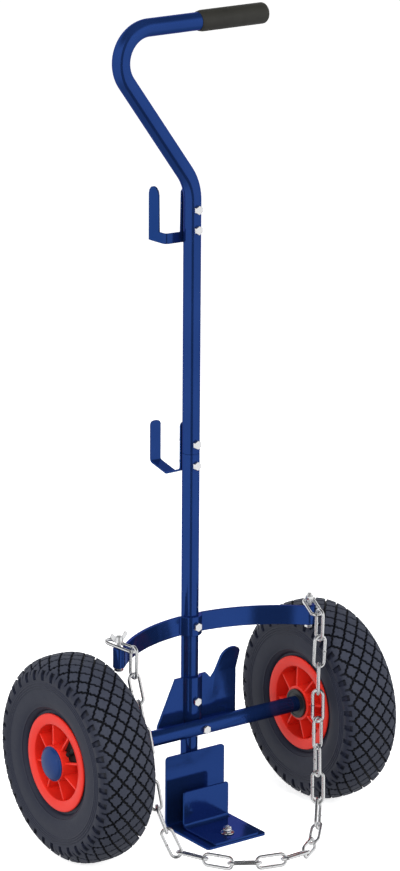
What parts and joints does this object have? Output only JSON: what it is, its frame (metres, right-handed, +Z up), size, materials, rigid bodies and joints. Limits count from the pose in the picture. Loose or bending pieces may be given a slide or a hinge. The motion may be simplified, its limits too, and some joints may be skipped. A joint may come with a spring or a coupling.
{
  "type": "gas cylinder cart",
  "caption": "Two-wheeled steel cart for a gas cylinder: cranked handle, hose hooks, curved cradle band with retaining chain, sliding foot stop and pneumatic wheels.",
  "frame": {"origin": "sole of the foot plate, 40 mm in front of the wheel axle, on the plane of the post", "axes": "+Z up along the post, -Y to the front where the cylinder stands, X along the axle, +X towards the end of the hand grip"},
  "size_m": [0.4636, 0.3115, 1.0324],
  "materials": {
    "blue_paint": "glossy dark blue powder coat",
    "grip": "matt",
    "zinc": "bright zinc plate on steel",
    "tyre": "matt moulded rubber",
    "inner_tube": "matt",
    "red_plastic": "satin moulded",
    "black_plastic": "satin moulded",
    "blue_plastic": "glossy moulded"
  },
  "bodies": {
    "frame": {"post_tube": "blue_paint", "handle_tube": "blue_paint", "upper_hook": "blue_paint", "lower_hook": "blue_paint", "cradle_band": "blue_paint", "axle_bracket": "blue_paint", "axle_tube": "blue_paint", "foot_plate": "blue_paint", "hand_grip": "grip", "upper_hook_bolt_top": "zinc", "upper_hook_bolt_bottom": "zinc", "lower_hook_bolt_top": "zinc", "lower_hook_bolt_bottom": "zinc", "cradle_bolt": "zinc", "bracket_bolt": "zinc", "axle_bolt": "zinc", "stop_bolt": "zinc", "stop_nut": "zinc", "left_chain_bolt": "zinc", "right_chain_bolt": "zinc", "right_chain_nut": "zinc", "left_axle_clip": "zinc", "right_axle_clip": "zinc", "chain_link_01": "zinc", "chain_link_25": "zinc"},
    "stop": {"stop_plate": "blue_paint"},
    "wing_nut": {"wing_nut": "zinc"},
    "left_wheel": {"left_tyre": "tyre", "left_inner_tube": "inner_tube", "left_rim": "red_plastic", "left_bearing": "black_plastic", "left_hub_cap": "blue_plastic"},
    "right_wheel": {"right_tyre": "tyre", "right_inner_tube": "inner_tube", "right_rim": "red_plastic", "right_bearing": "black_plastic", "right_hub_cap": "blue_plastic"},
    "chain": {"chain_link_02": "zinc", "chain_link_03": "zinc", "chain_link_04": "zinc", "chain_link_05": "zinc", "chain_link_06": "zinc", "chain_link_07": "zinc", "chain_link_08": "zinc", "chain_link_09": "zinc", "chain_link_10": "zinc", "chain_link_11": "zinc", "chain_link_12": "zinc", "chain_link_13": "zinc", "chain_link_14": "zinc", "chain_link_15": "zinc", "chain_link_16": "zinc", "chain_link_17": "zinc", "chain_link_18": "zinc", "chain_link_19": "zinc", "chain_link_20": "zinc", "chain_link_21": "zinc", "chain_link_22": "zinc", "chain_link_23": "zinc", "chain_link_24": "zinc"}
  },
  "joints": [
    {"name": "left_wheel_spin", "type": "hinge", "parent": "frame", "child": "left_wheel", "pos_m": [-0.1865, 0.04, 0.13], "axis": [1, 0, 0], "continuous": true},
    {"name": "right_wheel_spin", "type": "hinge", "parent": "frame", "child": "right_wheel", "pos_m": [0.1865, 0.04, 0.13], "axis": [1, 0, 0], "continuous": true},
    {"name": "stop_plate_slide", "type": "slide", "parent": "frame", "child": "stop", "axis": [0, 1, 0], "range_m": [-0.008, 0.006]},
    {"name": "wing_nut_turn", "type": "hinge", "parent": "frame", "child": "wing_nut", "pos_m": [-0.146, 0.00993, 0.28001], "axis": [0, 0, 1], "continuous": true},
    {"name": "chain_swing", "type": "hinge", "parent": "frame", "child": "chain", "pos_m": [0.13798, -0.02218, 0.2686], "axis": [-0.9992, 0.0379, 0.0089], "range_deg": [0, 80]}
  ]
}
